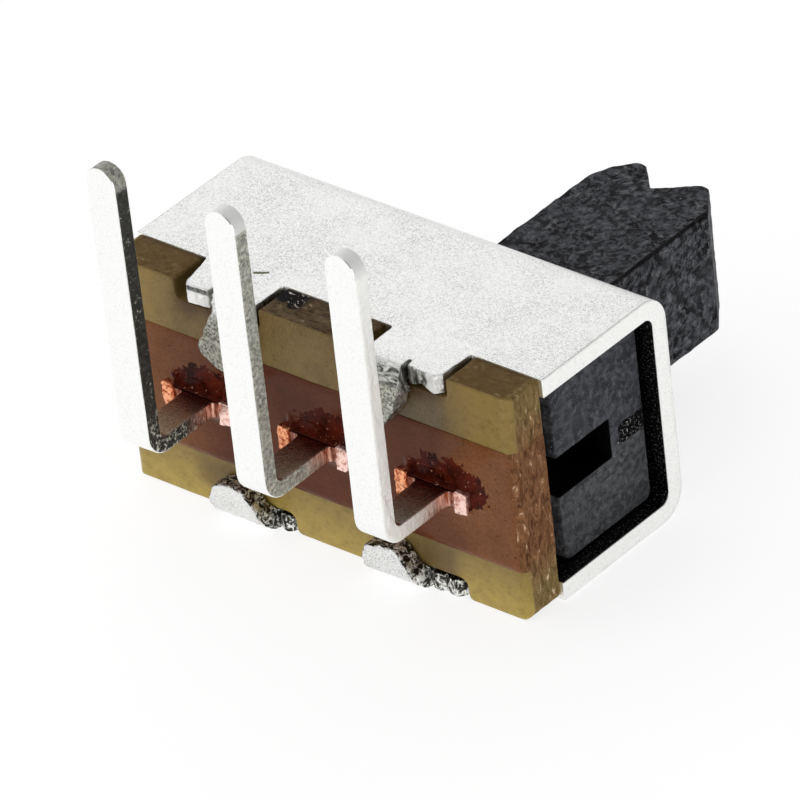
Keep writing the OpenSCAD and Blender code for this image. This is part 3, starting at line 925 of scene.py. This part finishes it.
def laminate_cut():
    """the laminate's sawn edges: rough fibres, rust brown where the resin has run over them"""
    g = Graph("laminate_cut")
    x, y, z = g.axes()
    strand = g.noise(0.10, 4, 0.7, g.scaled(1, 0.9, 0.35), 1.0)
    across = g.noise(0.10, 4, 0.7, g.scaled(0.5, 1, 1), 1.2)
    cloud = g.noise(0.6, 3, 0.6)
    end = g.zone(g.calc("ABSOLUTE", x), PW - 0.14, PW - 0.06)
    height = g.ragged(z, 0.5, 3, 0.8)
    band = g.times(g.zone(height, 0.6, 1.2), g.zone(height, 3.8, 3.1))
    olive = g.tint(strand, 0.34, 0.6, (0.13, 0.08, 0.025), (0.31, 0.21, 0.08))
    rust = g.tint(strand, 0.36, 0.62, (0.085, 0.030, 0.012), (0.31, 0.14, 0.06))
    col = g.mix(band, olive, rust)
    col = g.tint(strand, 0.63, 0.68, col, (0.85, 0.66, 0.45))
    flat = g.tint(across, 0.34, 0.66, (0.045, 0.026, 0.012), (0.20, 0.135, 0.068))
    flat = g.mix(g.span(cloud, 0.45, 0.65, 0.0, 0.5), flat, (0.065, 0.032, 0.012))
    flat = g.tint(across, 0.66, 0.70, flat, (0.5, 0.4, 0.26))
    gold = g.zone(g.calc("ABSOLUTE", x), 1.2, 3.0)
    flat = g.mix(g.times(gold, 0.45), flat, (0.21, 0.125, 0.030))
    flat = g.mix(g.zone(z, BODY_H - 0.03, BODY_H - 0.08), flat, (0.13, 0.082, 0.022))
    # painted shade under the sheet's edge, and a black spot with painted glints beside the middle block's
    # left notch
    flat = g.mix(g.zone(y, Y_EDGE - 0.12, Y_EDGE - 0.02, 0.0, 0.7), flat, (0.03, 0.015, 0.006))
    reach = g.ragged(y, 0.2, 3, 0.5)
    black_spot = g.times(g.zone(reach, Y_EDGE - 0.42, Y_EDGE - 0.34), g.between(x, -0.85, 0.32, 0.15),
                    g.zone(z, BODY_H - 0.2, BODY_H - 0.1))
    flat = g.mix(black_spot, flat, g.tint(across, 0.60, 0.64, (0.004, 0.002, 0.002), (0.8, 0.7, 0.65)))
    col = g.mix(end, flat, col)
    g.set(Base_Color=col, Roughness=g.span(strand, 0.3, 0.7, 0.85, 0.6),
          Specular_IOR_Level=0.10)
    b = g.bump(g.times(strand, end), 0.9, 0.04)
    g.set(Normal=g.bump(across, 0.7, 0.035, b))
    return g


def resin():
    """the band of red resin over the base"""
    g = Graph("red_resin")
    cloud = g.noise(0.9, 3, 0.55)
    pit = g.dots(0.17, 0.05, 0.11)
    fleck = g.noise(0.045, 3, 0.65)
    x, _, _ = g.axes()
    side = g.zone(g.calc("ABSOLUTE", x), 2.0, 3.4)
    thin = g.tint(cloud, 0.3, 0.7, (0.19, 0.068, 0.022), (0.265, 0.105, 0.038))
    thick = g.tint(cloud, 0.3, 0.7, (0.100, 0.026, 0.011), (0.142, 0.042, 0.017))
    col = g.mix(side, thick, thin)
    col = g.mix(g.span(fleck, 0.35, 0.65, 0.35, 0.0), col, (0.04, 0.010, 0.005))
    col = g.mix(pit, col, (0.015, 0.004, 0.003))
    g.set(Base_Color=col, Roughness=g.span(cloud, 0.3, 0.7, 0.12, 0.22),
          Specular_IOR_Level=0.11)
    b = g.bump(g.noise(0.28, 4, 0.6), 0.12, 0.02)
    b = g.bump(fleck, 0.12, 0.008, b)
    g.set(Normal=g.bump(pit, -0.45, 0.012, b))
    return g


def resin_pool():
    """deep, clear resin round each root"""
    g = Graph("resin_pool")
    cloud = g.noise(0.25, 3, 0.6)
    glint = g.noise(0.07, 4, 0.7, distortion=0.5)
    col = g.tint(cloud, 0.35, 0.65, (0.026, 0.003, 0.0015), (0.105, 0.013, 0.005))
    col = g.tint(glint, 0.63, 0.68, col, (0.60, 0.30, 0.20))
    g.set(Base_Color=col, Roughness=g.span(cloud, 0.3, 0.7, 0.20, 0.40),
          Specular_IOR_Level=0.05)
    g.set(Normal=g.bump(cloud, 0.4, 0.03))
    return g


def root_red(g, y):
    """1 near the resin, where the roots are reddened: resin run up them, with a painted reflection of the
    red resin
    """
    ragged = g.ragged(y, 0.2, 3, 0.4)
    return g.times(g.zone(ragged, Y_OUT - 0.75, Y_OUT - 0.15), g.zone(y, Y_EDGE, Y_EDGE - 0.1))


def root_shadow_line(g, y):
    """1 in the painted shadow line round each root, where it enters the resin"""
    return g.between(y, (Y_OUT + Y_EDGE) / 2, (Y_EDGE - Y_OUT) / 2 + 0.07, 0.03)


def root_red_streaks(g):
    """reddish streaks along Z at the roots: resin run up them, with a painted reflection of the red resin
    """
    streak = g.noise(0.05, 3, 0.7, g.scaled(1, 1, 0.12))
    return g.tint(streak, 0.40, 0.58, (0.36, 0.09, 0.035), (0.99, 0.60, 0.46))


def plated():
    """the terminals' faces: bright plating, reddened near the resin, with painted reflections of the red
    resin and the brown base
    """
    g = Graph("plated_terminal")
    _, y, z = g.axes()
    grain = g.noise(0.05, 4, 0.7)
    fine = g.noise(0.02, 2, 0.6)
    col = g.tint(grain, 0.30, 0.46, (0.86, 0.87, 0.855), (0.965, 0.972, 0.958))
    # painted reflection of the brown base on the leg's upper face, redder towards the root
    leg = g.times(g.attribute("inner"), g.zone(z, BLADE_Z + 0.45, BLADE_Z + 0.3))
    darker_mottle = g.tint(grain, 0.35, 0.62, (0.34, 0.29, 0.245), (0.80, 0.74, 0.66))
    reddened_leg = g.tint(grain, 0.35, 0.62, (0.10, 0.020, 0.010), (0.46, 0.15, 0.09))
    darker_mottle = g.mix(root_red(g, y), darker_mottle, reddened_leg)
    col = g.mix(leg, col, darker_mottle)
    under = g.times(root_red(g, y), g.span(leg, 1.0, 0.0))
    col = g.mix(under, col, root_red_streaks(g))
    col = g.mix(root_shadow_line(g, y), col, (0.07, 0.01, 0.006))
    g.set(Base_Color=col, Metallic=1.0, Roughness=g.span(grain, 0.3, 0.7, 0.36, 0.22))
    drawn = g.noise(0.04, 3, 0.6, g.scaled(1, 1, 0.2))
    b = g.bump(fine, 0.2, 0.008)
    b = g.bump(drawn, 0.2, 0.010, b)
    g.set(Normal=g.bump(grain, 0.25, 0.012, b))
    return g


def sheared():
    """the terminals' sheared edges, each terminal's painted light and shade set by a value of its own"""
    g = Graph("sheared_edge")
    _, y, z = g.axes()
    painted_light = g.attribute("painted_light")
    torn = g.noise(0.075, 4, 0.7, distortion=0.6)
    patchy = g.noise(0.16, 3, 0.6)
    # painted light: the curved tips brighter
    tip = g.zone(z, PIN_TOP - 0.42, PIN_TOP - 0.34)
    painted_light = g.calc("MAXIMUM", painted_light, g.times(tip, g.span(painted_light, 0.1, 0.5, 0.42, 0.92)))
    bright = g.span(painted_light, 0.7, 0.9)
    level = g.times(painted_light, g.span(torn, 0.36, 0.64, 0.40, 1.5))
    level = g.times(level, g.span(patchy, 0.3, 0.7, 0.75, 1.15))
    leg = g.zone(z, BLADE_Z + 0.9, BLADE_Z + 0.2)
    glint = g.calc("MAXIMUM", g.span(torn, 0.62, 0.67), g.times(leg, g.span(torn, 0.52, 0.60)))
    level = g.calc("MAXIMUM", level, g.times(glint, 0.8))
    clean = g.span(torn, 0.34, 0.46, 0.80, 0.98)
    level = g.calc("ADD", g.times(level, g.span(bright, 0.0, 1.0, 1.0, 0.0)),
                   g.times(clean, bright))
    level = g.calc("MINIMUM", level, 0.98)
    grey = g.new("ShaderNodeCombineColor")
    for channel, share in enumerate((1.0, 0.995, 0.86)):
        g.put(grey.inputs[channel], g.times(level, share))
    pale = g.mix(bright, grey.outputs[0], g.mix(clean, (0.80, 0.80, 0.76), (0.98, 0.98, 0.955)))
    red = root_red(g, y)
    col = g.mix(red, pale, root_red_streaks(g))
    col = g.mix(root_shadow_line(g, y), col, (0.07, 0.01, 0.006))
    metal = g.calc("SUBTRACT", g.span(painted_light, 0.94, 0.97, 0.2, 1.0), tip)
    g.set(Base_Color=col, Metallic=g.calc("MAXIMUM", metal, red),
          Roughness=g.span(torn, 0.3, 0.7, 0.55, 0.35))
    b = g.bump(torn, 0.6, 0.02)
    g.set(Normal=g.bump(patchy, 0.3, 0.03, b))
    return g


def copper():
    """the staked lugs: orange, with painted light making the right-hand ones paler and pinker"""
    g = Graph("bare_copper")
    grain = g.noise(0.07, 4, 0.7)
    pink = g.tint(grain, 0.34, 0.5, (0.50, 0.20, 0.14), (0.99, 0.70, 0.62))
    orange = g.tint(grain, 0.40, 0.56, (0.30, 0.05, 0.015), (0.95, 0.42, 0.22))
    g.set(Base_Color=g.mix(g.attribute("painted_light"), orange, pink), Metallic=1.0,
          Roughness=g.span(grain, 0.3, 0.7, 0.34, 0.2))
    g.set(Normal=g.bump(grain, 0.45, 0.02))
    return g


def plastic():
    """the slider: black, pitted plastic"""
    g = Graph("black_plastic")
    x, y, z = g.axes()
    grain = g.noise(0.13, 4, 0.66, distortion=0.5)
    patch = g.noise(0.45, 4, 0.65)
    drag = g.noise(0.05, 3, 0.6, g.scaled(1, 0.18, 1))
    dot = g.dots(0.22, 0.032, 0.046)
    keep = g.span(g.noise(0.8, 1), 0.45, 0.52)
    rough = g.span(patch, 0.38, 0.62, 1.0, 0.55)
    inside_shell = g.zone(y, Y_WEB - 0.1, Y_WEB - 0.2)
    rough = g.times(rough, g.span(inside_shell, 0.0, 1.0, 1.0, 0.55))
    rise = g.tint(patch, 0.3, 0.7, (0.063, 0.065, 0.074), (0.083, 0.086, 0.096))
    lower = g.times(inside_shell, g.zone(z, 2.0, 1.7))
    rise = g.mix(lower, rise, (0.085, 0.088, 0.094))
    # painted shade in the pits and painted highlights on the peaks
    col = g.mix(g.times(g.span(grain, 0.505, 0.465), rough), rise, (0.001, 0.001, 0.0015))
    peak_highlight = g.times(g.span(grain, 0.585, 0.61), rough)
    col = g.mix(g.times(peak_highlight, 0.8), col, (0.20, 0.202, 0.21))
    col = g.mix(g.times(dot, keep), col, (0.65, 0.65, 0.67))
    line = g.noise(0.06, 2, 0.6, g.scaled(1, 0.05, 1))
    col = g.mix(g.times(lower, g.span(line, 0.60, 0.66), 0.5), col, (0.12, 0.12, 0.125))
    # painted shade in a crease along the handle's upper right-hand edge
    crease = g.times(g.between(x, KX + KNOB_W / 2 - 0.05, 0.03, 0.02),
                     g.zone(z, KNOB_TOP - 0.07, KNOB_TOP - 0.03))
    col = g.mix(crease, col, (0.001, 0.001, 0.001))
    # broken moulding gate on the end face, black with painted glints, and the slot's unlit walls
    speck = g.noise(0.05, 4, 0.75, distortion=1.0)
    gate = g.times(g.between(y, GATE_Y, 0.26, 0.16), g.between(z, GATE_Z, 0.12, 0.12),
                   g.zone(x, SW1 - 0.2, SW1 - 0.1))
    gate = g.span(g.calc("ADD", gate, g.times(g.calc("SUBTRACT", grain, 0.5), 1.2)), 0.45, 0.6)
    gate = g.times(gate, g.zone(x, SW1 - 0.2, SW1 - 0.1))
    col = g.mix(gate, col, g.tint(speck, 0.58, 0.64, (0.002, 0.002, 0.002), (0.75, 0.75, 0.75)))
    slot_walls = g.times(g.attribute("side"), g.between(z, BLADE_Z, SLOT_H / 2 + 0.02, 0.01),
                         g.zone(y, SLOT_Y + 0.03, SLOT_Y + 0.02))
    col = g.mix(slot_walls, col, (0.0005, 0.0005, 0.0005))
    g.set(Base_Color=col, Roughness=g.span(patch, 0.3, 0.7, 0.40, 0.55),
          Specular_IOR_Level=0.05)
    b = g.bump(g.times(grain, rough), 1.0, 0.10)
    b = g.bump(g.times(speck, gate), 1.0, 0.06, b)
    b = g.bump(drag, 0.3, 0.015, b)
    g.set(Normal=g.bump(patch, 0.5, 0.06, b))
    return g


def brass():
    """the contact clip"""
    g = Graph("contact_metal")
    grain = g.noise(0.06, 3, 0.6, g.scaled(0.2, 1, 1))
    g.set(Base_Color=g.tint(grain, 0.3, 0.7, (0.55, 0.38, 0.16), (0.80, 0.62, 0.34)), Metallic=1.0,
          Roughness=g.span(grain, 0.3, 0.7, 0.35, 0.22))
    g.set(Normal=g.bump(grain, 0.2, 0.01))
    return g


tin().on(shell)
phenolic().on(plate)
sawn = laminate_cut()
sawn.on(plate)
resin().on(seal)
resin_pool().on(seal)
sawn.on(seal)
plated().on(*strips)
sheared().on(*strips)
copper().on(*lugs)
plastic().on(block, knob)
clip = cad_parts["contact_clip"]
clip_metal = brass().mat
for slot in clip.material_slots:
    slot.material = clip_metal
soft = clip.modifiers.new("soft_edges", "BEVEL")
soft.width = 0.015 * MM
soft.segments = 2
soft.limit_method = "ANGLE"

# ---------------------------------------------------------------- floor, light, camera
# from here on, places and sizes are in metres
FLOOR_SIZE = 0.6
FLOOR_GLOW = 0.80                 # lifts the grey floor to the photo's white
bpy.ops.mesh.primitive_plane_add(size=FLOOR_SIZE, location=(0, 0, -0.02 * MM))
floor = bpy.context.object
floor.name = "floor"
pale = bpy.data.materials.new("pale_floor")
pale.use_nodes = True
pale_in = pale.node_tree.nodes["Principled BSDF"].inputs
pale_in["Base Color"].default_value = (0.3, 0.3, 0.3, 1)
pale_in["Roughness"].default_value = 0.9
pale_in["Emission Color"].default_value = (1, 1, 1, 1)
pale_in["Emission Strength"].default_value = FLOOR_GLOW
floor.data.materials.append(pale)

# an even white sky, dimmed around one direction, to the right and a little above
DIM_TOWARD = (0.9, 0.15, 0.35)
DIM_FROM, DIM_FULL = 0.1, 0.6     # cosine of the angle from that direction
SKY_FULL, SKY_DIM = 0.96, 0.16    # strengths
world = bpy.data.worlds.new("studio")
bpy.context.scene.world = world
world.use_nodes = True
sky = world.node_tree
background = sky.nodes["Background"]
background.inputs["Color"].default_value = (1, 1, 1, 1)
direction = sky.nodes.new("ShaderNodeTexCoord")
aim = sky.nodes.new("ShaderNodeVectorMath")
aim.operation = "DOT_PRODUCT"
aim.inputs[1].default_value = Vector(DIM_TOWARD).normalized()
sky.links.new(direction.outputs["Generated"], aim.inputs[0])
ramp = sky.nodes.new("ShaderNodeMapRange")
ramp.interpolation_type = "SMOOTHSTEP"
for i, v in enumerate((DIM_FROM, DIM_FULL, SKY_FULL, SKY_DIM)):
    ramp.inputs[i + 1].default_value = v
sky.links.new(aim.outputs["Value"], ramp.inputs[0])
sky.links.new(ramp.outputs[0], background.inputs["Strength"])
LIT = Vector((0, 0, 0.002))       # the point that all lamps face


def softbox(name, at, size, power):
    """a square lamp at a place, facing the switch"""
    data = bpy.data.lights.new(name, "AREA")
    data.shape = "SQUARE"
    data.size = size
    data.energy = power
    ob = bpy.data.objects.new(name, data)
    ob.location = at
    ob.rotation_mode = "QUATERNION"
    ob.rotation_quaternion = (LIT - Vector(at)).to_track_quat("-Z", "Y")
    bpy.context.scene.collection.objects.link(ob)


softbox("key", (-0.05, -0.06, 0.07), 0.04, 0.002)
softbox("fill", (0.1, -0.02, 0.012), 0.05, 0.022)
softbox("back", (-0.07, 0.07, 0.07), 0.05, 0.002)

# the camera fitted to points measured in the photo: where it stands and its three axes
cam = bpy.data.cameras.new("camera")
cam.lens = 478.3
cam.sensor_width = 36
cam.clip_start = 0.01
cam.clip_end = 10
eye = Vector((0.10009, -0.10589 - (Y_WEB - Y_EDGE) / 2 * MM, 0.09716))
right = Vector((0.7686, 0.6325, -0.0961))
up = Vector((-0.2862, 0.4742, 0.8326))
back = Vector((0.5721, -0.6124, 0.5455))
cam_ob = bpy.data.objects.new("camera", cam)
cam_ob.matrix_world = Matrix([(right[i], up[i], back[i], eye[i]) for i in range(3)] + [(0, 0, 0, 1)])
bpy.context.scene.collection.objects.link(cam_ob)
bpy.context.scene.camera = cam_ob
bpy.context.scene.view_settings.view_transform = "Standard"
